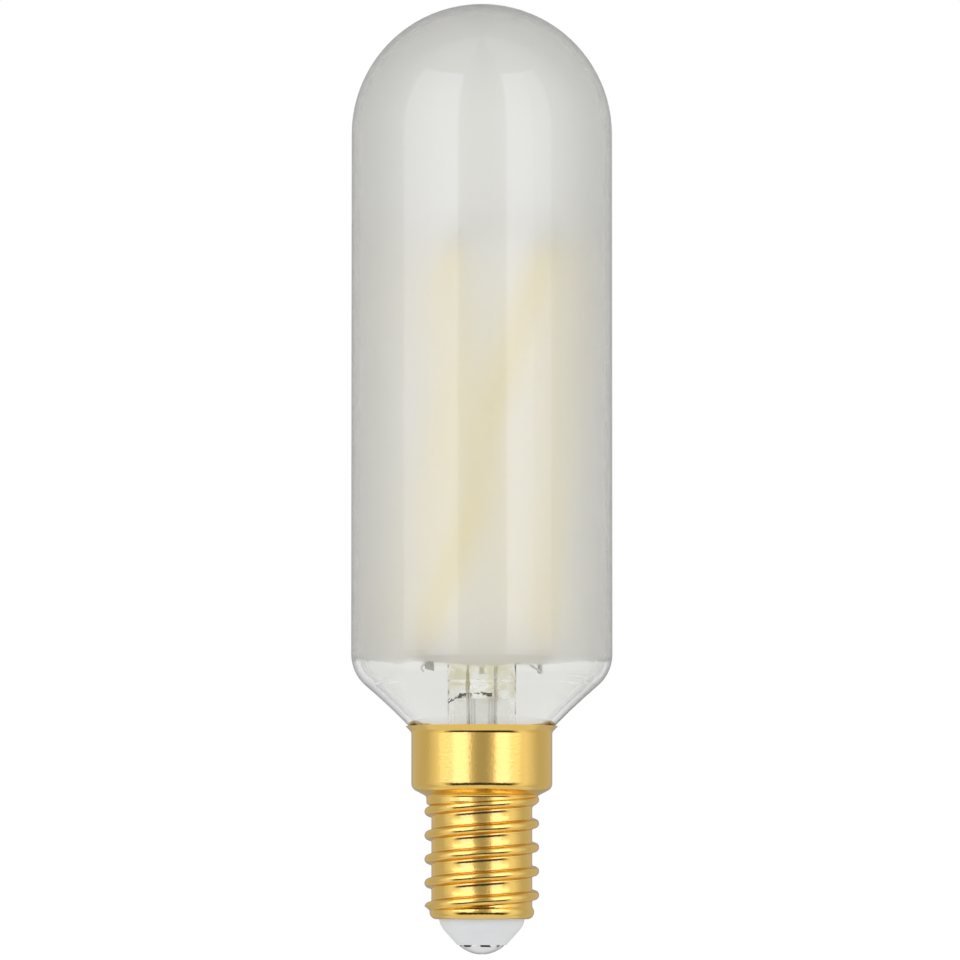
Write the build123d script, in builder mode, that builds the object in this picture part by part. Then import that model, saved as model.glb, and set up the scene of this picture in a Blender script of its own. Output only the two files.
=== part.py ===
from build123d import *
import os
from math import cos, radians, sin, sqrt, tan

# A frosted tube lamp with four filaments and a small Edison screw cap.
# Millimetres. The origin is the tip of the centre contact, and +Z runs up the lamp's axis.

os.makedirs("parts", exist_ok=True)

# Glass envelope
lamp_length = 113.0
glass_diameter = 31.0
glass_wall = 0.8
shoulder_radius = 5.0
shoulder_slope = 49.9
seat_slope = 43.9
neck_diameter = 14.7
neck_bend_radius = 2.0
neck_end_height = 22.4

# Glass stem, sealed into the neck
stem_diameter = 8.1
stem_wall = 0.75
flare_height = 3.6
press_top_height = 34.4
press_thickness = 3.0
press_length = 2.2
pinch_length = 3.4
press_solid_length = 3.8
bore_pinch = 0.2
press_top_fillet = 0.4
exhaust_diameter = 2.6
exhaust_wall = 0.35
exhaust_end_height = 20.6
exhaust_gap = 0.1
exhaust_tip_radius = 1.15

# Filament cage
filament_length = 53.0
strip_width = 1.0
strip_thickness = 0.4
tab_length = 2.4
coat_width = 2.0
coat_thickness = 1.7
cage_radius = 8.2
foot_height = 34.2
foot_angles = [222.0, 326.0, 57.0, 144.0]
head_angles = [329.0, 373.0, 132.0, 251.0]
weld_inset = 1.0
wire_diameter = 0.45
wire_bend_radius = 0.8
lead_spacing = 3.2
lead_offset = 0.55
lead_rise = 1.3
lead_lap = 1.6
anchor_sink = 1.8
head_jumper_rise = 0.5
head_jumper_bend_radius = 0.5
foot_jumper_drop = 0.3
foot_jumper_inset = 1.2
glass_clearance = 0.02

# Cap shell, one drawn and rolled sheet, to the E14 gauge
thread_pitch = 2.822
crest_diameter = 13.6
root_diameter = 11.96
crest_round_radius = 0.55
root_round_radius = 0.3
cap_sheet = 0.25
cap_bottom_height = 4.15
bead_diameter = 12.4
bead_height = 5.2
root_start_height = 5.6
root_end_height = 17.45
land_start_height = 17.8
land_diameter = 13.15
land_end_height = 18.7
skirt_diameter = 16.72
skirt_start_height = 19.63
rim_diameter = 18.1
rim_height = 27.0
lip_opening_diameter = 10.3
crest_height_left = 5.6

# Insulator and centre contact
insulator_top_diameter = 10.14
insulator_end_diameter = 5.8
insulator_end_height = 1.1
insulator_bend_height = 2.8
insulator_bend_diameter = 8.86
collar_diameter = 10.6
collar_thickness = 1.3
lead_hole_diameter = 1.4
contact_diameter = 5.3
contact_height = 1.02
contact_flat_diameter = 0.9
contact_stud_diameter = 2.4
contact_stud_length = 1.0

# Driver in the cap
board_width = 9.0
board_height = 10.5
board_thickness = 0.8
board_bottom_height = 8.8
board_offset = 1.2
board_corner = 0.6
rectifier_size = (4.7, 1.5, 3.9)
rectifier_edge_gap = 1.45
chip_size = (3.9, 1.4, 3.0)
sense_resistor_size = (1.6, 0.55, 0.8)
sense_resistor_spacing = 3.4
component_gap = 0.225
component_edge_share = 0.17
capacitor_diameter = 5.0
capacitor_length = 6.6
capacitor_height = 10.2
capacitor_side = 1.0
capacitor_lead_spacing = 2.0
capacitor_lead_drop = 0.7
end_fillet = 0.4
resistor_diameter = 1.8
resistor_length = 4.6
resistor_height = 10.0
resistor_side = 3.5
resistor_stand_off = 1.6
component_lead_diameter = 0.5
component_lead_sink = 0.4
lower_lead_rise = 1.2
lower_lead_run = 1.4
upper_lead_rise = 1.0
lead_bend_radius = 0.5
seat_gap = 0.05
cement_top_height = 24.6
cement_bottom_height = 21.4
cement_clearance = 0.03
neutral_height = 20.9
neutral_lap = 1.9
neutral_edge_gap = 1.2

glass_radius = glass_diameter / 2
neck_radius = neck_diameter / 2
stem_radius = stem_diameter / 2
bore_radius = stem_radius - stem_wall
wire_radius = wire_diameter / 2
crest_radius = crest_diameter / 2
root_radius = root_diameter / 2
flare_width = (rim_diameter - skirt_diameter) / 2
skirt_end_height = rim_height - flare_width / tan(radians(seat_slope))
lead_radius = component_lead_diameter / 2


def circle_point(radius, angle, height):
    """A point on a circle about the lamp's axis."""
    return Vector(radius * cos(radians(angle)), radius * sin(radians(angle)), height)


def round_wire(label, points, diameter, bend_radius):
    """A round wire along straight runs joined by arcs."""
    with BuildPart() as wire:
        with BuildLine() as route:
            FilletPolyline(*points, radius=bend_radius)
        start = Plane(origin=route.line @ 0, z_dir=route.line % 0)
        with BuildSketch(start):
            Circle(diameter / 2)
        sweep(path=route.line)
    wire.part.label = label
    return wire.part


# Cap shell: the rolled thread is a round crest between two root rounds, with a plain root between turns

thread_start_angle = 240.0
thread_turns = 5.5
angle_to_left = 180.0 + 360.0 - thread_start_angle
thread_start_height = crest_height_left - thread_pitch * angle_to_left / 360.0
rib_base_rise = 0.05
rib_sink = 0.4
rim_corner_radius = 0.6
lip_corner_radius = 0.85
bead_corner_radius = 0.4
land_corner_radius = 0.4
skirt_corner_radius = 1.0


def thread_turn(inset, turns):
    """Some turns of the rolled rib, drawn in by the inset from the outer skin."""
    convex = crest_round_radius - inset
    concave = root_round_radius + inset
    crest_centre = crest_radius - crest_round_radius
    root_centre = root_radius + root_round_radius
    arc_distance = crest_round_radius + root_round_radius
    half_width = sqrt(arc_distance**2 - (root_centre - crest_centre) ** 2)
    share = convex / arc_distance
    flank = (crest_centre + (root_centre - crest_centre) * share, half_width * share)
    half_base = half_width - sqrt(concave**2 - (concave - rib_base_rise) ** 2)
    base = root_radius - inset + rib_base_rise
    sunk = root_radius - inset - rib_sink
    section = Plane(origin=(0, 0, thread_start_height), x_dir=(1, 0, 0), z_dir=(0, -1, 0))
    with BuildPart() as rib:
        with BuildLine() as path:
            Helix(
                pitch=thread_pitch,
                height=thread_pitch * turns,
                radius=crest_radius,
                center=(0, 0, thread_start_height),
            )
        with BuildSketch(section):
            with BuildLine():
                ThreePointArc((flank[0], -flank[1]), (crest_centre + convex, 0), flank)
                RadiusArc(flank, (base, half_base), concave)
                RadiusArc((base, -half_base), (flank[0], -flank[1]), concave)
                Polyline((base, half_base), (sunk, half_base), (sunk, -half_base), (base, -half_base))
            make_face()
        sweep(path=path.line, is_frenet=True)
    return rib.part.rotate(Axis.Z, thread_start_angle)


def drawn_body(points, corner_radii, inset):
    """A solid of revolution whose outline is drawn in by the inset."""
    with BuildPart() as body:
        with BuildSketch(Plane.XZ):
            with BuildLine() as outline:
                skin = FilletPolyline(*points, radius=corner_radii)
                if inset > 0:
                    offset(skin, amount=inset, side=Side.LEFT, closed=False, mode=Mode.REPLACE)
                low = outline.vertices().sort_by(Axis.Y)[0]
                high = outline.vertices().sort_by(Axis.Y)[-1]
                Polyline((high.X, high.Y), (0, high.Y), (0, low.Y))
            make_face()
        revolve(axis=Axis.Z)
    return body.part


def cap_form(inset):
    """The cap as a filled solid, drawn in by the inset."""
    bead = bead_diameter / 2
    land = land_diameter / 2
    skirt = skirt_diameter / 2
    outline = [
        (0, cap_bottom_height),
        (bead, cap_bottom_height),
        (bead, bead_height),
        (root_radius, root_start_height),
        (root_radius, root_end_height),
        (land, land_start_height),
        (land, land_end_height),
        (skirt, skirt_start_height),
        (skirt, skirt_end_height),
        (rim_diameter / 2, rim_height),
    ]
    corners = [
        lip_corner_radius,
        bead_corner_radius,
        bead_corner_radius,
        land_corner_radius,
        land_corner_radius,
        land_corner_radius,
        skirt_corner_radius,
        rim_corner_radius,
    ]
    clear_of_thread = crest_radius + lip_corner_radius / 2
    bottom_limit = [
        (0, cap_bottom_height),
        (bead, cap_bottom_height),
        (bead, bead_height),
        (clear_of_thread, bead_height + lip_corner_radius),
        (clear_of_thread, land_start_height),
    ]
    limit_corners = [lip_corner_radius, bead_corner_radius / 2, bead_corner_radius / 2]
    first_turn = thread_turn(inset, 1.0)
    last_turn = thread_turn(inset, thread_turns % 1.0)
    whole_turns = int(thread_turns)
    with BuildPart() as trimmed_turn:
        add(first_turn)
        add(drawn_body(bottom_limit, limit_corners, inset), mode=Mode.INTERSECT)
    with BuildPart() as form:
        add(drawn_body(outline, corners, inset))
        add(trimmed_turn.part)
        for turn in range(1, whole_turns):
            with Locations((0, 0, thread_pitch * turn)):
                add(first_turn)
        with Locations((0, 0, thread_pitch * whole_turns)):
            add(last_turn)
    return form.part


with BuildPart() as cap_shell:
    add(cap_form(0))
    add(cap_form(cap_sheet), mode=Mode.SUBTRACT)
    with BuildSketch(Plane.XY.offset(cap_bottom_height)):
        Circle(lip_opening_diameter / 2)
    extrude(amount=cap_sheet, mode=Mode.SUBTRACT)
cap_shell.part.label = "cap_shell"

# Glass envelope: crown, straight tube, shoulder, a slightly hollow cone that seats on the rim, and the neck

rim_inner_radius = rim_diameter / 2 - cap_sheet * cos(radians(seat_slope)) - seat_gap
rim_top_height = rim_height + cap_sheet * sin(radians(seat_slope))
shoulder_width = shoulder_radius * (1 - cos(radians(shoulder_slope)))
cone_width = glass_radius - shoulder_width - rim_inner_radius
cone_radius = cone_width / (cos(radians(seat_slope)) - cos(radians(shoulder_slope)))
cone_drop = cone_radius * (sin(radians(shoulder_slope)) - sin(radians(seat_slope)))
shoulder_height = rim_top_height + cone_drop + shoulder_radius * sin(radians(shoulder_slope))
bend_width = neck_bend_radius * (1 - cos(radians(seat_slope)))
seat_length = (rim_inner_radius - neck_radius - bend_width) / sin(radians(seat_slope))

with BuildPart() as glass_envelope:
    with BuildSketch(Plane.XZ):
        with BuildLine() as glass_outline:
            crown = CenterArc((0, lamp_length - glass_radius), glass_radius, 90, -90)
            tube = Line(crown @ 1, (glass_radius, shoulder_height))
            shoulder = JernArc(tube @ 1, tube % 1, shoulder_radius, -shoulder_slope)
            cone = JernArc(shoulder @ 1, shoulder % 1, cone_radius, shoulder_slope - seat_slope)
            seat = Line(cone @ 1, cone @ 1 + (cone % 1) * seat_length)
            neck_bend = JernArc(seat @ 1, cone % 1, neck_bend_radius, seat_slope)
            Line(neck_bend @ 1, (neck_radius, neck_end_height))
            offset(amount=glass_wall, side=Side.RIGHT)
        make_face()
    revolve(axis=Axis.Z)
glass_envelope.part.label = "glass_envelope"

# Glass stem: a tube that flares out to the neck's end, with its top pinched flat round the wires

seal_bottom_height = neck_end_height - glass_wall
flare_top_height = seal_bottom_height + flare_height
flare_radius = neck_radius - glass_wall - seat_gap
pinch_start_height = press_top_height - press_length - pinch_length
bore_top_height = press_top_height - press_solid_length
bore_half_thickness = exhaust_diameter / 2 + exhaust_gap

with BuildPart() as glass_stem:
    with BuildSketch(Plane.XZ):
        with BuildLine():
            seal = Polyline(
                (0, seal_bottom_height),
                (neck_radius, seal_bottom_height),
                (neck_radius, neck_end_height),
                (flare_radius, neck_end_height),
            )
            flare = Spline(
                seal @ 1,
                (stem_radius, flare_top_height),
                tangents=[(-0.8, 1), (0, 1)],
            )
            Polyline(flare @ 1, (stem_radius, pinch_start_height), (0, pinch_start_height), seal @ 0)
        make_face()
    revolve(axis=Axis.Z)
    with BuildSketch(Plane.XY.offset(pinch_start_height)):
        Circle(stem_radius)
    with BuildSketch(Plane.XY.offset(pinch_start_height + pinch_length)):
        Ellipse(stem_radius, press_thickness / 2)
    loft()
    with BuildSketch(Plane.XY.offset(pinch_start_height + pinch_length)):
        Ellipse(stem_radius, press_thickness / 2)
    extrude(amount=press_length)
    fillet(edges().group_by(Axis.Z)[-1], press_top_fillet)
    with BuildSketch(Plane.XZ):
        with BuildLine():
            inner_flare = Spline(
                (flare_radius, seal_bottom_height),
                (bore_radius, flare_top_height),
                tangents=[(-0.8, 1), (0, 1)],
            )
            Polyline(
                inner_flare @ 1,
                (bore_radius, pinch_start_height),
                (0, pinch_start_height),
                (0, seal_bottom_height),
                inner_flare @ 0,
            )
        make_face()
    revolve(axis=Axis.Z, mode=Mode.SUBTRACT)
    with BuildSketch(Plane.XY.offset(pinch_start_height)):
        Circle(bore_radius)
    with BuildSketch(Plane.XY.offset(bore_top_height)):
        Ellipse(bore_radius - bore_pinch, bore_half_thickness)
    loft(mode=Mode.SUBTRACT)
    with Locations((lead_spacing / 2, lead_offset, 0), (-lead_spacing / 2, lead_offset, 0)):
        Cylinder(
            wire_radius + glass_clearance,
            lamp_length,
            align=(Align.CENTER, Align.CENTER, Align.MIN),
            mode=Mode.SUBTRACT,
        )
    with Locations((0, lead_offset, press_top_height - anchor_sink)):
        Cylinder(
            wire_radius + glass_clearance,
            lamp_length,
            align=(Align.CENTER, Align.CENTER, Align.MIN),
            mode=Mode.SUBTRACT,
        )
glass_stem.part.label = "glass_stem"

# Exhaust tube: open at the press, tipped off inside the cap

with BuildPart() as exhaust_tube:
    with BuildSketch(Plane.XY.offset(exhaust_end_height)):
        Circle(exhaust_diameter / 2)
    extrude(amount=bore_top_height - exhaust_end_height)
    fillet(edges().group_by(Axis.Z)[0], exhaust_tip_radius)
    with BuildSketch(Plane.XY.offset(exhaust_end_height + 2 * exhaust_wall)):
        Circle(exhaust_diameter / 2 - exhaust_wall)
    extrude(amount=lamp_length, mode=Mode.SUBTRACT)
exhaust_tube.part.label = "exhaust_tube"

# Filaments: a glass strip with bare metal tabs, in a phosphor coat


def filament_frame(number):
    """A filament's plane: origin at its foot, z along it, x outwards from the lamp's axis."""
    foot = circle_point(cage_radius, foot_angles[number], foot_height)
    head = circle_point(cage_radius, head_angles[number], foot_height)
    reach = (head - foot).length
    head = head + Vector(0, 0, sqrt(filament_length**2 - reach**2))
    middle = (foot + head) * 0.5
    along = (head - foot).normalized()
    outward = Vector(middle.X, middle.Y, 0)
    outward = (outward - along * outward.dot(along)).normalized()
    return Plane(origin=foot, x_dir=outward, z_dir=along)


filament_planes = [filament_frame(number) for number in range(len(foot_angles))]
filaments = []
for number, plane in enumerate(filament_planes, start=1):
    with BuildPart() as filament_strip:
        with BuildSketch(plane):
            Rectangle(strip_thickness, strip_width)
        extrude(amount=filament_length)
    filament_strip.part.label = f"filament_strip_{number}"
    with BuildPart() as filament_coat:
        with BuildSketch(plane.offset(tab_length)):
            RectangleRounded(coat_thickness, coat_width, coat_thickness * 0.45)
            Rectangle(strip_thickness, strip_width, mode=Mode.SUBTRACT)
        extrude(amount=filament_length - 2 * tab_length)
    filament_coat.part.label = f"filament_phosphor_{number}"
    filaments += [filament_strip.part, filament_coat.part]


def weld_point(number, distance):
    """Where a wire's centre lies on the inner face of a filament's tab."""
    plane = filament_planes[number]
    inward = strip_thickness / 2 + wire_radius + glass_clearance
    return plane.origin + plane.z_dir * distance - plane.x_dir * inward


foot_welds = [weld_point(number, weld_inset) for number in range(len(foot_angles))]
head_welds = [weld_point(number, filament_length - weld_inset) for number in range(len(foot_angles))]

# Wires: two leads through the press, a jumper at the rear feet, two at the heads, and the rear anchor

board_top_height = board_bottom_height + board_height
wire_turn_height = press_top_height + lead_rise


def lead_wire(label, side, weld):
    """A lead from the top of the driver board, up through the press, to a filament's foot."""
    side_offset = side * lead_spacing / 2
    start = Vector(side_offset, lead_offset, board_top_height - lead_lap)
    turn = Vector(side_offset, lead_offset, wire_turn_height)
    return round_wire(label, [start, turn, weld], wire_diameter, wire_bend_radius)


def head_jumper(label, first, second):
    """A wire that rises along one filament's head tab and comes down along another's."""
    rise = weld_inset + head_jumper_rise
    first_turn = head_welds[first] + filament_planes[first].z_dir * rise
    second_turn = head_welds[second] + filament_planes[second].z_dir * rise
    route = [head_welds[first], first_turn, second_turn, head_welds[second]]
    return round_wire(label, route, wire_diameter, head_jumper_bend_radius)


lead_in_left = lead_wire("lead_in_wire_left", -1, foot_welds[0])
lead_in_right = lead_wire("lead_in_wire_right", 1, foot_welds[1])
head_jumper_front = head_jumper("head_jumper_front", 0, 3)
head_jumper_rear = head_jumper("head_jumper_rear", 1, 2)

drop = Vector(0, 0, -foot_jumper_drop)
inset = (foot_welds[3] - foot_welds[2]).normalized() * foot_jumper_inset
foot_route = [foot_welds[2], foot_welds[2] + drop + inset, foot_welds[3] + drop - inset, foot_welds[3]]
foot_jumper = round_wire("foot_jumper", foot_route, wire_diameter, wire_bend_radius)

anchor_start = Vector(0, lead_offset, press_top_height - anchor_sink)
anchor_turn = Vector(0, lead_offset, wire_turn_height)
anchor_rise = Vector(0, 0, wire_diameter + glass_clearance)
anchor_end = (foot_welds[2] + foot_welds[3]) * 0.5 + drop + anchor_rise
anchor_route = [anchor_start, anchor_turn, anchor_end]
anchor_wire = round_wire("anchor_wire", anchor_route, wire_diameter, wire_bend_radius)

# Basing cement: a ring between the neck and the skirt

with BuildPart() as basing_cement:
    with BuildSketch(Plane.XY.offset(cement_bottom_height)):
        Circle(skirt_diameter / 2 - cap_sheet - cement_clearance)
        Circle(neck_radius + cement_clearance, mode=Mode.SUBTRACT)
    extrude(amount=cement_top_height - cement_bottom_height)
basing_cement.part.label = "basing_cement"

# Insulator: a collar inside the lip, and the moulded cone below it

collar_top_height = cap_bottom_height + cap_sheet + collar_thickness

with BuildPart() as cap_insulator:
    with BuildSketch(Plane.XZ):
        with BuildLine():
            end_face = Line((0, insulator_end_height), (insulator_end_diameter / 2, insulator_end_height))
            side = Line(end_face @ 1, (insulator_bend_diameter / 2, insulator_bend_height))
            bend = TangentArc(
                side @ 1, (insulator_top_diameter / 2, cap_bottom_height), tangent=side % 1
            )
            Polyline(
                bend @ 1,
                (insulator_top_diameter / 2, cap_bottom_height + cap_sheet),
                (collar_diameter / 2, cap_bottom_height + cap_sheet),
                (collar_diameter / 2, collar_top_height),
                (0, collar_top_height),
                end_face @ 0,
            )
        make_face()
    revolve(axis=Axis.Z)
    Cylinder(lead_hole_diameter / 2, 2 * collar_top_height, mode=Mode.SUBTRACT)
    with BuildSketch(Plane.XY.offset(insulator_end_height)):
        Circle(contact_stud_diameter / 2 + seat_gap)
    extrude(amount=contact_stud_length + seat_gap, mode=Mode.SUBTRACT)
cap_insulator.part.label = "cap_insulator"

# Centre contact: a shallow dome with a small flat, and a hollow stud pressed into the insulator

with BuildPart() as centre_contact:
    with BuildSketch(Plane.XZ):
        with BuildLine():
            tip = Line((0, 0), (contact_flat_diameter / 2, 0))
            dome = TangentArc(tip @ 1, (contact_diameter / 2, contact_height), tangent=(1, 0.12))
            Polyline(
                dome @ 1,
                (contact_diameter / 2, insulator_end_height),
                (contact_stud_diameter / 2, insulator_end_height),
                (contact_stud_diameter / 2, insulator_end_height + contact_stud_length),
                (0, insulator_end_height + contact_stud_length),
                (0, 0),
            )
        make_face()
    revolve(axis=Axis.Z)
    with BuildSketch(Plane.XY.offset(insulator_end_height)):
        Circle(lead_radius + glass_clearance)
    extrude(amount=contact_stud_length, mode=Mode.SUBTRACT)
centre_contact.part.label = "centre_contact"

# Driver board, standing in the threaded part of the cap

board_rear = -board_offset + board_thickness / 2
board_front = -board_offset - board_thickness / 2

with BuildPart() as driver_board:
    with BuildSketch(Plane.XY.offset(board_bottom_height)):
        with Locations((0, -board_offset)):
            Rectangle(board_width, board_thickness)
    extrude(amount=board_height)
    chamfer(edges().filter_by(Axis.Y), board_corner)
driver_board.part.label = "driver_board"


def board_component(label, size, side, height):
    """A small moulded component on the board's front face."""
    with BuildPart() as component:
        with BuildSketch(Plane.XZ.offset(-board_front)):
            with Locations((side, height)):
                Rectangle(size[0], size[2])
        extrude(amount=size[1])
        chamfer(edges().group_by(Axis.Y)[0], size[1] * component_edge_share)
    component.part.label = label
    return component.part


# From the board's top edge down: the rectifier, a row of two small resistors, and the chip

rectifier_height = board_top_height - rectifier_edge_gap - rectifier_size[2] / 2
resistor_row_height = rectifier_height - (rectifier_size[2] + sense_resistor_size[2]) / 2 - component_gap
chip_height = resistor_row_height - (sense_resistor_size[2] + chip_size[2]) / 2 - component_gap

bridge_rectifier = board_component("bridge_rectifier", rectifier_size, 0, rectifier_height)
driver_chip = board_component("driver_chip", chip_size, 0, chip_height)
sense_resistors = [
    board_component(
        f"sense_resistor_{number}",
        sense_resistor_size,
        (number - 1.5) * sense_resistor_spacing,
        resistor_row_height,
    )
    for number in (1, 2)
]

# Smoothing capacitor: a can along the back of the board, with its two leads bent to it

can_centre = board_rear + capacitor_diameter / 2 + seat_gap


def capacitor_lead(side):
    """A lead out of the can's lower end, bent forward to the back of the board."""
    across = -capacitor_side + side * capacitor_lead_spacing / 2
    bend_height = capacitor_height - capacitor_lead_drop
    route = [
        Vector(across, can_centre, capacitor_height + component_lead_sink),
        Vector(across, can_centre, bend_height),
        Vector(across, board_rear + glass_clearance, bend_height),
    ]
    return round_wire("capacitor_lead", route, component_lead_diameter, lead_bend_radius)


with BuildPart() as smoothing_capacitor:
    with BuildSketch(Plane.XY.offset(capacitor_height)):
        with Locations((-capacitor_side, can_centre)):
            Circle(capacitor_diameter / 2)
    extrude(amount=capacitor_length)
    fillet(edges().filter_by(GeomType.CIRCLE), end_fillet)
    add(capacitor_lead(-1))
    add(capacitor_lead(1))
smoothing_capacitor.part.label = "smoothing_capacitor"

# Fusible resistor: its lower lead runs through the insulator to the contact, its upper one to the board

resistor_depth = board_rear + resistor_stand_off
resistor_top = resistor_height + resistor_length
lower_route = [
    Vector(0, 0, insulator_end_height),
    Vector(0, 0, collar_top_height + lower_lead_rise),
    Vector(resistor_side, resistor_depth, resistor_height - lower_lead_run),
    Vector(resistor_side, resistor_depth, resistor_height + component_lead_sink),
]
upper_route = [
    Vector(resistor_side, resistor_depth, resistor_top - component_lead_sink),
    Vector(resistor_side, resistor_depth, resistor_top + upper_lead_rise),
    Vector(resistor_side, board_rear + glass_clearance, resistor_top + upper_lead_rise),
]
lower_lead = round_wire("lower_lead", lower_route, component_lead_diameter, lead_bend_radius)
upper_lead = round_wire("upper_lead", upper_route, component_lead_diameter, lead_bend_radius)
with BuildPart() as fusible_resistor:
    with BuildSketch(Plane.XY.offset(resistor_height)):
        with Locations((resistor_side, resistor_depth)):
            Circle(resistor_diameter / 2)
    extrude(amount=resistor_length)
    fillet(edges().filter_by(GeomType.CIRCLE), end_fillet)
    add(lower_lead)
    add(upper_lead)
fusible_resistor.part.label = "fusible_resistor"

# Neutral wire: from the front of the board out to the inside of the skirt

neutral_reach = skirt_diameter / 2 - cap_sheet - seat_gap
neutral_side = -board_width / 2 + neutral_edge_gap
neutral_depth = board_front - lead_radius - glass_clearance
neutral_end_side = -sqrt(neutral_reach**2 - neutral_depth**2) + lead_radius
neutral_route = [
    Vector(neutral_side, neutral_depth, board_top_height - neutral_lap),
    Vector(neutral_side, neutral_depth, neutral_height),
    Vector(neutral_end_side, neutral_depth, neutral_height),
]
neutral_wire = round_wire("neutral_wire", neutral_route, component_lead_diameter, lead_bend_radius)

pieces = [
    glass_envelope.part,
    glass_stem.part,
    exhaust_tube.part,
    *filaments,
    lead_in_left,
    lead_in_right,
    head_jumper_front,
    head_jumper_rear,
    foot_jumper,
    anchor_wire,
    cap_shell.part,
    cap_insulator.part,
    centre_contact.part,
    basing_cement.part,
    driver_board.part,
    bridge_rectifier,
    driver_chip,
    *sense_resistors,
    smoothing_capacitor.part,
    fusible_resistor.part,
    neutral_wire,
]
for piece in pieces:
    export_step(piece, f"parts/{piece.label}.step")
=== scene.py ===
# %% [markdown]
# # A frosted tube lamp with four filaments
#
# The lamp is already modelled to size: a glass tube, four filaments on a glass stem, and a
# rolled brass screw cap with its driver inside. This lesson gives every piece its finish,
# adds the small crimped clips at the front feet, and lights the lamp as a product
# photographer would, between two tall softboxes in front of white paper.

from math import atan2, cos, pi, radians, tan

import bmesh
import bpy
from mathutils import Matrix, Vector


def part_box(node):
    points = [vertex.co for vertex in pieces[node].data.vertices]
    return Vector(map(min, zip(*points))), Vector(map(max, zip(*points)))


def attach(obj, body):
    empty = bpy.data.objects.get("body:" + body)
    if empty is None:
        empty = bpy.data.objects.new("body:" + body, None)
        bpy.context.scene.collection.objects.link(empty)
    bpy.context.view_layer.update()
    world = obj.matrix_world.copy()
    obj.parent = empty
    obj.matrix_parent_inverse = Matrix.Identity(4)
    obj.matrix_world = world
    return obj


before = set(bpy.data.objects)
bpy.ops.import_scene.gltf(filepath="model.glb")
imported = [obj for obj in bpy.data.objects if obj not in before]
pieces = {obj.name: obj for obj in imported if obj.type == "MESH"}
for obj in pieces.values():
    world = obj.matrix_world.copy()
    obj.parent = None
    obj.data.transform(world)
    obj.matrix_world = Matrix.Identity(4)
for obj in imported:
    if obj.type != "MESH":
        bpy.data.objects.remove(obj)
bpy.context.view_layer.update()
print("pieces loaded:", len(pieces))

# %% [markdown]
# ## Nodes, the short way
#
# Every finish below is a small network of nodes that ends in one Principled shader. Three
# helpers build such a network: one starts a finish, one adds a node with its inputs, and one
# joins an output to the shader. They work on the world's nodes as well.


# %% Helpers that build a network
def start_finish(name):
    """A new material, and its shader."""
    finish = bpy.data.materials.new(name)
    finish.use_nodes = True
    return finish, finish.node_tree.nodes["Principled BSDF"]


def add_node(finish, kind, inputs=None, **settings):
    """A node with its settings made, and its inputs set or joined by name or number."""
    tree = finish.node_tree
    node = tree.nodes.new(kind)
    for name, value in settings.items():
        setattr(node, name, value)
    for key, value in (inputs or {}).items():
        if isinstance(value, bpy.types.NodeSocket):
            tree.links.new(value, node.inputs[key])
        else:
            node.inputs[key].default_value = value
    return node


def join(finish, output, target):
    """Joins an output to an input, mostly one of the shader's."""
    finish.node_tree.links.new(output, target)


# %% [markdown]
# Real surfaces vary from spot to spot, so a noise drives nearly every socket below. It runs
# on Object coordinates, which are metres on the lamp, so a grain is as many millimetres wide
# as we say. The sums between a noise and a socket are single nodes, each with a short name.


# %% Helpers that vary a value or a colour
def object_place(finish):
    """The point on the piece, in metres, in the lamp's own frame."""
    return add_node(finish, "ShaderNodeTexCoord").outputs["Object"]


def grain(finish, grain_mm, detail=3.0, roughness=0.5, stretch=(1, 1, 1)):
    """A noise whose lumps are about grain_mm across."""
    place = add_node(
        finish,
        "ShaderNodeMapping",
        {"Vector": object_place(finish), "Scale": stretch},
    )
    noise = add_node(
        finish,
        "ShaderNodeTexNoise",
        {
            "Vector": place.outputs["Vector"],
            "Scale": 1000 / grain_mm,
            "Detail": detail,
            "Roughness": roughness,
        },
    )
    return noise.outputs["Fac"]


def spread(finish, source, low, high, to_low, to_high, smooth=False):
    """Carries a value from one range to another, and no further than its ends."""
    node = add_node(
        finish,
        "ShaderNodeMapRange",
        {"Value": source, "From Min": low, "From Max": high, "To Min": to_low, "To Max": to_high},
        interpolation_type="SMOOTHSTEP" if smooth else "LINEAR",
    )
    return node.outputs["Result"]


def reckon(finish, operation, first, second=0.0):
    """One sum on two values or sockets."""
    node = add_node(finish, "ShaderNodeMath", {0: first, 1: second}, operation=operation)
    return node.outputs["Value"]


# The Mix node keeps a socket for each kind of value; these are the numbers of the colour ones.
mix_first = 6
mix_second = 7
mix_result = 2


def blend_colour(finish, share, first, second):
    """From the first colour to the second as the share goes from 0 to 1."""
    node = add_node(
        finish,
        "ShaderNodeMix",
        {"Factor": share, mix_first: first, mix_second: second},
        data_type="RGBA",
    )
    return node.outputs[mix_result]


# %% [markdown]
# The last two helpers give a finish its relief and put it on its pieces. A relief too fine
# for the outline is a bump, which only turns the light: its height is in millimetres too.


# %% Helpers for relief and for dressing the pieces
def press_relief(finish, shader, height, depth_mm):
    """Bumps up to depth_mm high, which the light sees and the outline doesn't."""
    bump = add_node(
        finish,
        "ShaderNodeBump",
        {"Height": height, "Distance": depth_mm / 1000, "Strength": 1.0},
    )
    join(finish, bump.outputs["Normal"], shader.inputs["Normal"])


def dress(finish, *names):
    """Gives a finish to the pieces of these names."""
    for name in names:
        slots = pieces[name].data.materials
        slots.clear()
        slots.append(finish)
    print(finish.name, "on", ", ".join(names))


# %% [markdown]
# ## Glass that is frosted inside
#
# The tube is one blown piece. Its inside is coated with a fine white powder down to the
# shoulder, where the coat was wiped off and fades out over a millimetre, so the foot of the
# stem can be seen. The wiped edge isn't quite level: it dips at the front. The outside is
# smooth, which keeps the softboxes' edges sharp. One glass with a mask does both: the mask
# is a soft step on height, and it holds on the inner skin only, which is told from the
# outer one by its distance from the middle of the glass.

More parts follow.
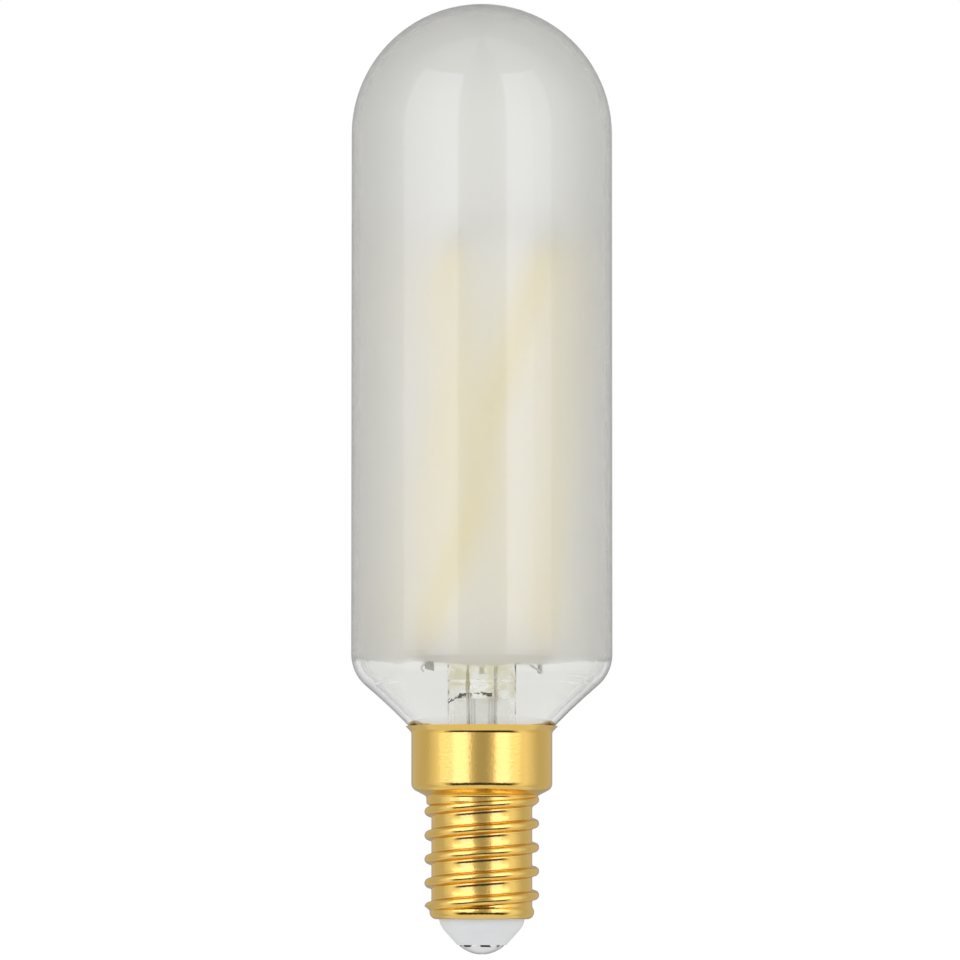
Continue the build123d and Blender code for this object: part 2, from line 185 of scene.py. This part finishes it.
# %% Where the frost is
frost_edge = 0.03515
frost_dip = 0.00115
frost_fade = 0.0011
glass_wall = 0.0008
wave_height = 0.0002
glass_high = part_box("glass_envelope")[1]
glass_radius = glass_high[0]
crown_centre = glass_high[2] - glass_radius
print("glass radius and crown's centre, mm:", round(glass_radius * 1000, 2), round(crown_centre * 1000, 2))

frosted, shader = start_finish("frosted_glass")
place = add_node(frosted, "ShaderNodeSeparateXYZ", {0: object_place(frosted)})
over_crown = reckon(frosted, "MAXIMUM", reckon(frosted, "SUBTRACT", place.outputs["Z"], crown_centre), 0.0)
out_from_middle = add_node(
    frosted,
    "ShaderNodeCombineXYZ",
    {"X": place.outputs["X"], "Y": place.outputs["Y"], "Z": over_crown},
)
skin = add_node(frosted, "ShaderNodeVectorMath", {0: out_from_middle.outputs[0]}, operation="LENGTH")
inner_skin = spread(
    frosted,
    skin.outputs["Value"],
    glass_radius - 0.6 * glass_wall,
    glass_radius - 0.4 * glass_wall,
    1.0,
    0.0,
)
wave = spread(frosted, grain(frosted, 3.0, 1.0), 0.3, 0.7, -wave_height, wave_height)
dip = spread(frosted, place.outputs["Y"], -glass_radius, 0.0, frost_dip, 0.0)
coated_height = spread(
    frosted,
    reckon(frosted, "ADD", place.outputs["Z"], reckon(frosted, "ADD", wave, dip)),
    frost_edge - frost_fade / 2,
    frost_edge + frost_fade / 2,
    0.0,
    1.0,
    smooth=True,
)
frost = reckon(frosted, "MULTIPLY", coated_height, inner_skin)

# %% Frosted glass
# The two rim colours are painted shade: a near black in the clear glass and a grey under the frost. They
# stand for the dark room the glass mirrors at its outline and for the longer path through the glass there.
clear_painted_rim = (0.05, 0.05, 0.05, 1)
powder_painted_rim = (0.36, 0.36, 0.34, 1)
clear_tint = (0.89, 0.89, 0.87, 1)
powder_tint = (0.998, 0.996, 0.972, 1)

powder = spread(frosted, grain(frosted, 0.12, 2.0), 0.3, 0.7, 0.64, 0.72)
join(frosted, reckon(frosted, "MULTIPLY", frost, powder), shader.inputs["Roughness"])
shader.inputs["Transmission Weight"].default_value = 1.0
# Painted shade at the outline: Layer Weight's facing darkens the glass's colour towards the rim colours where
# the glass is seen edge-on.
facing = add_node(frosted, "ShaderNodeLayerWeight", {"Blend": 0.5}).outputs["Facing"]
painted_rim_share = spread(frosted, facing, 0.64, 0.97, 0.0, 1.0)
painted_rim_colour = blend_colour(frosted, coated_height, clear_painted_rim, powder_painted_rim)
tint = blend_colour(frosted, frost, clear_tint, powder_tint)
join(frosted, blend_colour(frosted, painted_rim_share, tint, painted_rim_colour), shader.inputs["Base Color"])
shader.inputs["IOR"].default_value = 1.58
press_relief(frosted, shader, reckon(frosted, "MULTIPLY", frost, grain(frosted, 0.3, 3.0)), 0.004)
dress(frosted, "glass_envelope")

# %% [markdown]
# ## Clear glass, drawn and pinched hot
#
# The stem and the exhaust tube are clear. A press closed the stem while it was soft, so
# its walls there ripple and bend what is behind them, and the glass that was squeezed round
# the wires is tinted olive by them. A bump with lumps of a millimetre, which stops below
# the press, gives those wavy lines without any change to the shape. The index is set far
# below that of real glass, because at the full index the pinch mirrors the dark cap below.

# %% Stem glass
press_low = 0.0300
press_high = 0.0312

stem_glass, shader = start_finish("stem_glass")
height = add_node(stem_glass, "ShaderNodeSeparateXYZ", {0: object_place(stem_glass)}).outputs["Z"]
pressed = spread(stem_glass, height, press_low, press_high, 0.0, 1.0, smooth=True)
ripple = grain(stem_glass, 1.5, 2.0, 0.4, (1, 1, 0.7))
patches = spread(stem_glass, grain(stem_glass, 2.2, 1.0), 0.46, 0.60, 0.0, 1.0)
join(
    stem_glass,
    blend_colour(
        stem_glass,
        reckon(stem_glass, "MULTIPLY", pressed, patches),
        (0.97, 0.97, 0.955, 1),
        (0.80, 0.77, 0.55, 1),
    ),
    shader.inputs["Base Color"],
)
shader.inputs["IOR"].default_value = 1.12
shader.inputs["Transmission Weight"].default_value = 1.0
join(stem_glass, spread(stem_glass, grain(stem_glass, 0.6), 0.3, 0.7, 0.0, 0.03), shader.inputs["Roughness"])
press_relief(
    stem_glass,
    shader,
    reckon(stem_glass, "MULTIPLY", ripple, spread(stem_glass, pressed, 0, 1, 0.04, 1.0)),
    1.0,
)
dress(stem_glass, "glass_stem")

# %% [markdown]
# The exhaust tube stands inside the stem, which stands inside the envelope, and a ray of
# light only gets through so many skins of glass before it is given up. Such a thin tube
# hardly bends light, so it is made see-through in the middle and grey towards its edges.

# %% Exhaust tube
exhaust_glass, shader = start_finish("exhaust_glass")
facing = add_node(exhaust_glass, "ShaderNodeLayerWeight", {"Blend": 0.5}).outputs["Facing"]
join(exhaust_glass, spread(exhaust_glass, facing, 0.25, 0.95, 0.03, 0.45), shader.inputs["Alpha"])
join(
    exhaust_glass,
    blend_colour(exhaust_glass, grain(exhaust_glass, 1.0), (0.60, 0.59, 0.57, 1), (0.72, 0.71, 0.68, 1)),
    shader.inputs["Base Color"],
)
gloss = spread(exhaust_glass, grain(exhaust_glass, 0.6), 0.3, 0.7, 0.04, 0.10)
join(exhaust_glass, gloss, shader.inputs["Roughness"])
press_relief(exhaust_glass, shader, grain(exhaust_glass, 1.2, 1.0), 0.02)
dress(exhaust_glass, "exhaust_tube")

# %% [markdown]
# ## Phosphor and the strips under it
#
# A filament is a glass strip set with tiny diodes and dipped in silicone that is full of
# yellow phosphor. The coat is soft and a little uneven, and light goes some way into it,
# which is what subsurface scattering is for. The phosphor turns the blue in the studio's
# light to yellow, so it looks brighter than paint would: a low emission stands for that.

# %% Phosphor coat
phosphor, shader = start_finish("phosphor")
lumps = grain(phosphor, 0.5, 4.0)
join(
    phosphor,
    blend_colour(phosphor, lumps, (0.97, 0.80, 0.36, 1), (1.0, 0.90, 0.52, 1)),
    shader.inputs["Base Color"],
)
join(phosphor, spread(phosphor, lumps, 0.3, 0.7, 0.42, 0.6), shader.inputs["Roughness"])
shader.inputs["Emission Color"].default_value = (1.0, 0.84, 0.42, 1)
shader.inputs["Emission Strength"].default_value = 0.23
shader.inputs["Subsurface Weight"].default_value = 0.3
shader.inputs["Subsurface Radius"].default_value = (0.8, 0.5, 0.2)
shader.inputs["Subsurface Scale"].default_value = 0.0005
press_relief(phosphor, shader, grain(phosphor, 0.8, 2.0), 0.03)
dress(phosphor, *(f"filament_phosphor_{number}" for number in range(1, 5)))

# %% Filament strips and wires
strip_metal, shader = start_finish("filament_strip")
rolled = grain(strip_metal, 0.25, 2.0, 0.5, (1, 1, 0.2))
join(
    strip_metal,
    blend_colour(strip_metal, rolled, (0.42, 0.40, 0.37, 1), (0.62, 0.60, 0.56, 1)),
    shader.inputs["Base Color"],
)
shader.inputs["Metallic"].default_value = 1.0
join(strip_metal, spread(strip_metal, rolled, 0.3, 0.7, 0.28, 0.42), shader.inputs["Roughness"])
press_relief(strip_metal, shader, rolled, 0.01)
dress(strip_metal, *(f"filament_strip_{number}" for number in range(1, 5)))

wire_metal, shader = start_finish("lead_wire")
drawn = grain(wire_metal, 0.12, 2.0, 0.5, (1, 1, 0.15))
join(
    wire_metal,
    blend_colour(wire_metal, drawn, (0.72, 0.69, 0.66, 1), (0.90, 0.87, 0.83, 1)),
    shader.inputs["Base Color"],
)
shader.inputs["Metallic"].default_value = 1.0
join(wire_metal, spread(wire_metal, drawn, 0.3, 0.7, 0.2, 0.36), shader.inputs["Roughness"])
press_relief(wire_metal, shader, drawn, 0.006)
dress(
    wire_metal,
    "lead_in_wire_left",
    "lead_in_wire_right",
    "head_jumper_front",
    "head_jumper_rear",
    "foot_jumper",
    "anchor_wire",
)

# %% [markdown]
# ## Crimped feet
#
# The two front filaments end in small crimped clips, which show just below the frost, each
# with the tail of a wire beside it. A clip starts from the end face of its strip, read off
# the strip's own mesh, so it carries on in the same direction. A tail is a round wire swept
# along a few points as a curve.

# %% Clips at the front feet
clip_lengths = {"filament_strip_1": 0.00085, "filament_strip_2": 0.00130}
clip_growth = 1.12
clip_bevel = 0.00007
end_face_depth = 0.0006


def end_face(piece):
    """The middle and the corners of a leaning strip's lowest face, in order round it."""
    corners = [piece.matrix_world @ vertex.co for vertex in piece.data.vertices]
    lowest = min(corner.z for corner in corners)
    face = {tuple(round(v, 7) for v in c) for c in corners if c.z < lowest + end_face_depth}
    middle = sum((Vector(corner) for corner in face), Vector()) / len(face)
    ordered = sorted(face, key=lambda corner: atan2(corner[1] - middle.y, corner[0] - middle.x))
    return middle, [Vector(corner) for corner in ordered]


def new_piece(name, mesh, finish):
    """Puts a new piece's mesh in the scene, rides it on the lamp and gives it a finish."""
    piece = bpy.data.objects.new(name, mesh)
    bpy.context.collection.objects.link(piece)
    mesh.materials.append(finish)
    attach(piece, "root")


for number, (strip, length) in enumerate(clip_lengths.items(), 1):
    middle, corners = end_face(pieces[strip])
    shape = bmesh.new()
    ring = [shape.verts.new(middle + (corner - middle) * clip_growth) for corner in corners]
    top = shape.faces.new(ring)
    raised = bmesh.ops.extrude_face_region(shape, geom=[top])
    for item in raised["geom"]:
        if isinstance(item, bmesh.types.BMVert):
            item.co.z -= length
    bmesh.ops.recalc_face_normals(shape, faces=shape.faces)
    bmesh.ops.bevel(
        shape,
        geom=shape.edges[:],
        offset=clip_bevel,
        segments=2,
        profile=0.5,
        affect="EDGES",
        material=-1,
    )
    clip_mesh = bpy.data.meshes.new(f"foot_clip_{number}")
    shape.to_mesh(clip_mesh)
    shape.free()
    new_piece(f"foot_clip_{number}", clip_mesh, strip_metal)
    print("clip below", strip, "corners:", len(corners), "at mm:", [round(v * 1000, 2) for v in middle])

# %% Wire tails beside the clips
tail_radius = 0.00013
# In millimetres, from under the frost down to the free end.
tail_points = {
    "foot_tail_1": [(-6.62, -6.1, 34.1), (-7.0, -6.1, 33.9), (-7.05, -6.1, 33.4), (-6.75, -6.1, 33.1)],
    "foot_tail_2": [(5.15, -5.2, 34.6), (5.7, -5.2, 33.9), (6.4, -5.2, 33.5), (6.95, -5.2, 32.95)],
}
for name, points in tail_points.items():
    tail = bpy.data.curves.new(name, "CURVE")
    tail.dimensions = "3D"
    tail.bevel_depth = tail_radius
    tail.bevel_resolution = 3
    tail.resolution_u = 8
    tail.use_fill_caps = True
    path = tail.splines.new("NURBS")
    path.points.add(len(points) - 1)
    for point, place in zip(path.points, points):
        point.co = (*(v / 1000 for v in place), 1)
    path.order_u = 3
    path.use_endpoint_u = True
    new_piece(name, tail, wire_metal)
print("wire tails:", len(tail_points))

# %% [markdown]
# ## Rolled brass
#
# The cap is a drawn brass cup whose thread was rolled between two dies. It is bright,
# and two things keep it from looking like plastic: metal tints its own reflections, and
# the dies leave a fine orange peel that makes the edges of a reflection crawl. They also
# leave the ground between two turns a few hundredths of a millimetre hollow. That is too
# shallow for the outline, so a bump follows the helix: how far up the thread a point lies, in
# turns, less its own turn round the axis, says where it is between one crest and the next.

# %% The hollow between the turns
thread_pitch_mm = 2.822
crest_left_mm = 5.6
thread_low_mm = 6.0
thread_high_mm = 17.6
thread_run_in_mm = 0.5
root_share = 0.205
root_hollow_mm = 0.065
hollow_power = 3.0

brass, shader = start_finish("cap_brass")
place = add_node(brass, "ShaderNodeSeparateXYZ", {0: object_place(brass)})
leftwards = reckon(brass, "MULTIPLY", place.outputs["X"], -1.0)
forwards = reckon(brass, "MULTIPLY", place.outputs["Y"], -1.0)
turns = reckon(brass, "DIVIDE", reckon(brass, "ARCTAN2", forwards, leftwards), 2 * pi)
height_mm = reckon(brass, "MULTIPLY", place.outputs["Z"], 1000.0)
climb = reckon(brass, "DIVIDE", reckon(brass, "SUBTRACT", height_mm, crest_left_mm), thread_pitch_mm)
phase = reckon(brass, "FRACT", reckon(brass, "SUBTRACT", climb, turns))
from_middle = reckon(brass, "ABSOLUTE", reckon(brass, "SUBTRACT", phase, 0.5))
share = spread(brass, from_middle, 0.0, root_share, 0.0, 1.0)
hollow = spread(brass, reckon(brass, "POWER", share, hollow_power), 0.0, 1.0, -root_hollow_mm, 0.0)
above_bead = spread(brass, height_mm, thread_low_mm, thread_low_mm + thread_run_in_mm, 0.0, 1.0)
below_land = spread(brass, height_mm, thread_high_mm - thread_run_in_mm, thread_high_mm, 1.0, 0.0)
hollow = reckon(brass, "MULTIPLY", hollow, reckon(brass, "MULTIPLY", above_bead, below_land))
print("thread turns up to the land:", round((thread_high_mm - crest_left_mm) / thread_pitch_mm, 2))

# %% Brass
# A thin clear coat stands for the lacquer that keeps the brass bright.
peel_depth_mm = 0.012
peel = grain(brass, 0.35, 3.0, 0.6)
drawing = grain(brass, 1.6, 2.0, 0.5, (1, 1, 0.3))
join(
    brass,
    blend_colour(brass, drawing, (0.84, 0.55, 0.13, 1), (0.89, 0.60, 0.17, 1)),
    shader.inputs["Base Color"],
)
shader.inputs["Metallic"].default_value = 1.0
shader.inputs["Specular Tint"].default_value = (1.0, 0.92, 0.76, 1)
shader.inputs["Coat Weight"].default_value = 0.25
shader.inputs["Coat Roughness"].default_value = 0.12
join(brass, spread(brass, peel, 0.3, 0.7, 0.11, 0.19), shader.inputs["Roughness"])
peel_mm = spread(brass, peel, 0.0, 1.0, 0.0, peel_depth_mm)
press_relief(brass, shader, reckon(brass, "ADD", hollow, peel_mm), 1.0)
dress(brass, "cap_shell")

# %% [markdown]
# ## Insulator and contact
#
# The insulator is moulded from a white plastic that stands heat, so it is smooth but not
# glossy. The contact is a tinned cup pressed into it, with a few dark marks of painted shade in the seam.

# %% Insulator
insulator, shader = start_finish("insulator")
cloud = grain(insulator, 2.5, 3.0)
join(
    insulator,
    blend_colour(insulator, cloud, (0.59, 0.60, 0.59, 1), (0.64, 0.65, 0.64, 1)),
    shader.inputs["Base Color"],
)
join(insulator, spread(insulator, grain(insulator, 0.4), 0.3, 0.7, 0.34, 0.46), shader.inputs["Roughness"])
shader.inputs["Subsurface Weight"].default_value = 0.15
shader.inputs["Subsurface Radius"].default_value = (1.0, 1.0, 1.0)
shader.inputs["Subsurface Scale"].default_value = 0.0006
press_relief(insulator, shader, grain(insulator, 0.3, 2.0), 0.006)
dress(insulator, "cap_insulator")

# %% Centre contact
seam_height = 0.00088
seam_above = 0.00002
seam_below = 0.00005

contact_metal, shader = start_finish("contact_metal")
plate = grain(contact_metal, 0.3, 3.0)
tin = blend_colour(contact_metal, plate, (0.80, 0.805, 0.80, 1), (0.88, 0.885, 0.885, 1))
height = add_node(contact_metal, "ShaderNodeSeparateXYZ", {0: object_place(contact_metal)}).outputs["Z"]
in_seam = spread(contact_metal, height, seam_height - seam_below, seam_height + seam_above, 0.0, 1.0)
# The marks are painted shade: a noise breaks a near-black band at the seam's height into a few dashes.
seam_shade_marks = spread(contact_metal, grain(contact_metal, 1.1, 2.0), 0.50, 0.56, 0.0, 1.0)
join(
    contact_metal,
    blend_colour(contact_metal, reckon(contact_metal, "MULTIPLY", in_seam, seam_shade_marks), tin, (0.03, 0.03, 0.03, 1)),
    shader.inputs["Base Color"],
)
shader.inputs["Metallic"].default_value = 1.0
join(contact_metal, spread(contact_metal, plate, 0.3, 0.7, 0.25, 0.38), shader.inputs["Roughness"])
press_relief(contact_metal, shader, plate, 0.01)
dress(contact_metal, "centre_contact")

# %% [markdown]
# ## What is inside the cap
#
# Nobody sees the driver until the cap comes off, but the part is a model of the whole
# lamp, so each piece in there gets its own finish too.


# %% Finishes inside the cap
def moulded(name, dark, pale, gloss, grain_mm=0.3, metal=0.0, depth_mm=0.01):
    """A finish with two near colours, an uneven gloss and a fine relief."""
    finish, shader = start_finish(name)
    lumps = grain(finish, grain_mm, 3.0)
    join(finish, blend_colour(finish, lumps, (*dark, 1), (*pale, 1)), shader.inputs["Base Color"])
    join(finish, spread(finish, lumps, 0.3, 0.7, gloss, gloss + 0.12), shader.inputs["Roughness"])
    shader.inputs["Metallic"].default_value = metal
    press_relief(finish, shader, lumps, depth_mm)
    return finish


dress(moulded("cement", (0.78, 0.76, 0.70), (0.85, 0.83, 0.78), 0.7, 0.5, depth_mm=0.05), "basing_cement")
dress(moulded("circuit_board", (0.08, 0.28, 0.13), (0.13, 0.36, 0.18), 0.3), "driver_board")
dress(
    moulded("chip_body", (0.02, 0.02, 0.022), (0.035, 0.035, 0.037), 0.45, 0.15),
    "bridge_rectifier",
    "driver_chip",
    "sense_resistor_1",
    "sense_resistor_2",
)
dress(
    moulded("capacitor_sleeve", (0.06, 0.07, 0.10), (0.08, 0.09, 0.13), 0.25, 0.6),
    "smoothing_capacitor",
)
dress(moulded("resistor_body", (0.38, 0.51, 0.41), (0.45, 0.58, 0.48), 0.4, 0.4), "fusible_resistor")
dress(moulded("tinned_wire", (0.68, 0.68, 0.67), (0.80, 0.80, 0.79), 0.25, 0.15, 1.0), "neutral_wire")

# %% [markdown]
# ## The studio
#
# The lamp stands before white paper, between two tall softboxes a little in front of it.
# All of it is in the world: the direction of a ray gives an angle round the lamp, and a
# ramp over that angle holds the room, dim where the camera stands, bright beside it and
# middling at the sides. The softboxes are laid over it. The camera is low, so the tall glass
# mirrors what lies above the horizon and the short cap what lies below: the softboxes are
# wider above, and below they are bluer, as brass takes the blue out of what it mirrors.
# What the camera sees past the lamp is plain white.

# %% The room's light by direction
# Brightness of the room by angle round the lamp: 0 is the camera's side, + is its right.
room = [
    (-180, 0.40),
    (-166, 0.46),
    (-150, 0.62),
    (-100, 0.60),
    (-86, 0.85),
    (-74, 1.02),
    (-22, 0.95),
    (-15, 0.66),
    (-7, 0.46),
    (8, 0.44),
    (15, 0.66),
    (24, 0.95),
    (46, 1.05),
    (78, 1.02),
    (90, 0.80),
    (105, 0.60),
    (150, 0.62),
    (166, 0.44),
    (180, 0.40),
]
# Each part of a softbox: its first and last angle round the lamp, its lowest and highest
# angle above the horizon, and its light in red, green and blue.
softbox_top = 48.0
softbox_bottom = -12.0
glass_starts = 1.9
softboxes = [
    (-72.5, -48.0, glass_starts, softbox_top, (1.85, 1.85, 2.05)),
    (-48.0, -21.0, glass_starts, softbox_top, (2.10, 2.10, 2.35)),
    (22.0, 48.0, glass_starts, softbox_top, (2.10, 2.10, 2.35)),
    (48.0, 64.0, glass_starts, softbox_top, (1.85, 1.85, 2.05)),
    (-49.0, -21.0, softbox_bottom, glass_starts, (1.48, 1.54, 2.25)),
    (22.0, 47.0, softbox_bottom, glass_starts, (1.48, 1.54, 2.25)),
]
edge_softness = 3.0
rise_softness = 1.0
# Below the softboxes it is dark in front, and further down is the bright paper under the lamp.
dark_half_width = 62.0
dark_softness = 8.0
dark_light = 0.04
paper_rise = -42.0
paper_light = 0.85

world = bpy.data.worlds.new("studio")
bpy.context.scene.world = world
world.use_nodes = True
background = world.node_tree.nodes["Background"]
direction = add_node(world, "ShaderNodeTexCoord").outputs["Generated"]
axes = add_node(world, "ShaderNodeSeparateXYZ", {0: direction})
towards_camera = reckon(world, "MULTIPLY", axes.outputs["Y"], -1.0)
around = reckon(world, "MULTIPLY", reckon(world, "ARCTAN2", axes.outputs["X"], towards_camera), 180 / pi)
rise = reckon(world, "MULTIPLY", reckon(world, "ARCSINE", axes.outputs["Z"]), 180 / pi)

ramp = add_node(world, "ShaderNodeValToRGB", {"Fac": spread(world, around, -180, 180, 0, 1)})
stops = ramp.color_ramp.elements
while len(stops) > 1:
    stops.remove(stops[-1])
for number, (angle, light) in enumerate(room):
    position = (angle + 180) / 360
    stop = stops[0] if number == 0 else stops.new(position)
    stop.position = position
    stop.color = (light, light, light, 1)
print("room stops:", len(stops))


# %% The softboxes, the dark below the camera, and what the camera sees past the lamp
def rise_share(lowest, highest, softness):
    """1 between two angles above the horizon, and 0 outside them."""
    half = softness / 2
    start = spread(world, rise, lowest - half, lowest + half, 0, 1)
    end = spread(world, rise, highest - half, highest + half, 1, 0)
    return reckon(world, "MULTIPLY", start, end)


def softbox_share(first, last, lowest, highest):
    """1 inside a part of a softbox, and 0 outside it."""
    half = edge_softness / 2
    start = spread(world, around, first - half, first + half, 0, 1)
    end = spread(world, around, last - half, last + half, 1, 0)
    height_share = rise_share(lowest, highest, rise_softness)
    return reckon(world, "MULTIPLY", reckon(world, "MULTIPLY", start, end), height_share)


studio_light = ramp.outputs["Color"]
for first, last, lowest, highest, light in softboxes:
    share = softbox_share(first, last, lowest, highest)
    studio_light = blend_colour(world, share, studio_light, (*light, 1))
under = spread(world, rise, paper_rise - edge_softness, paper_rise + edge_softness, 1, 0)
studio_light = blend_colour(world, under, studio_light, (paper_light, paper_light, paper_light, 1))
off_front = reckon(world, "ABSOLUTE", around)
dark_start = dark_half_width - dark_softness
dark_end = dark_half_width + dark_softness
front = spread(world, off_front, dark_start, dark_end, 1, 0)
dark_share = reckon(world, "MULTIPLY", front, rise_share(paper_rise, softbox_bottom, edge_softness))
studio_light = blend_colour(world, dark_share, studio_light, (dark_light, dark_light, dark_light, 1))
rays = add_node(world, "ShaderNodeLightPath")
plain_view = reckon(
    world, "MAXIMUM", rays.outputs["Is Camera Ray"], rays.outputs["Is Transmission Ray"]
)
join(
    world,
    blend_colour(world, plain_view, studio_light, (1, 1, 1, 1)),
    background.inputs["Color"],
)
print("softbox parts:", len(softboxes))

# %% Floor
# The brass is left to see the room's own light from below, not this small sheet of paper.
floor_half = 0.25
paper_grey = 0.30
paper_glow = 0.80

floor_mesh = bpy.data.meshes.new("floor")
shape = bmesh.new()
bmesh.ops.create_grid(shape, x_segments=1, y_segments=1, size=floor_half)
shape.to_mesh(floor_mesh)
shape.free()
floor = bpy.data.objects.new("floor", floor_mesh)
bpy.context.collection.objects.link(floor)
floor.visible_glossy = False

paper, shader = start_finish("white_paper")
shader.inputs["Roughness"].default_value = 0.9
shader.inputs["Specular IOR Level"].default_value = 0.1
shader.inputs["Base Color"].default_value = (paper_grey, paper_grey, paper_grey, 1)
shader.inputs["Emission Color"].default_value = (1, 1, 1, 1)
shader.inputs["Emission Strength"].default_value = paper_glow
floor_mesh.materials.append(paper)

# %% [markdown]
# ## The camera
#
# The picture was taken from low down: the rim of the cap bows upwards a little in the
# middle, and the glass grows a shade narrower towards its crown. So the camera stands just
# above the paper and looks up at the middle of the lamp. The lens is worked out from what
# the frame takes in at the lamp, so the lamp is as large in the render as it should be.

# %% Camera
camera_distance = 0.90
camera_pitch = 3.43
view_height = 0.11405
view_middle = 0.05625
sensor_width = 36.0
picture_pixels = 960
lamp_right_pixels = 1.8

camera_data = bpy.data.cameras.new("camera")
camera = bpy.data.objects.new("camera", camera_data)
bpy.context.collection.objects.link(camera)
camera_data.sensor_width = sensor_width
camera_data.lens = sensor_width * camera_distance / cos(radians(camera_pitch)) / view_height
side = -lamp_right_pixels * view_height / picture_pixels
camera.location = (side, -camera_distance, view_middle - camera_distance * tan(radians(camera_pitch)))
camera.rotation_euler = (radians(90 + camera_pitch), 0, 0)
camera_data.clip_end = 20
bpy.context.scene.camera = camera
bpy.context.scene.view_settings.view_transform = "Standard"
print("lens, mm:", round(camera_data.lens, 1), "camera height, mm:", round(camera.location.z * 1000, 1))
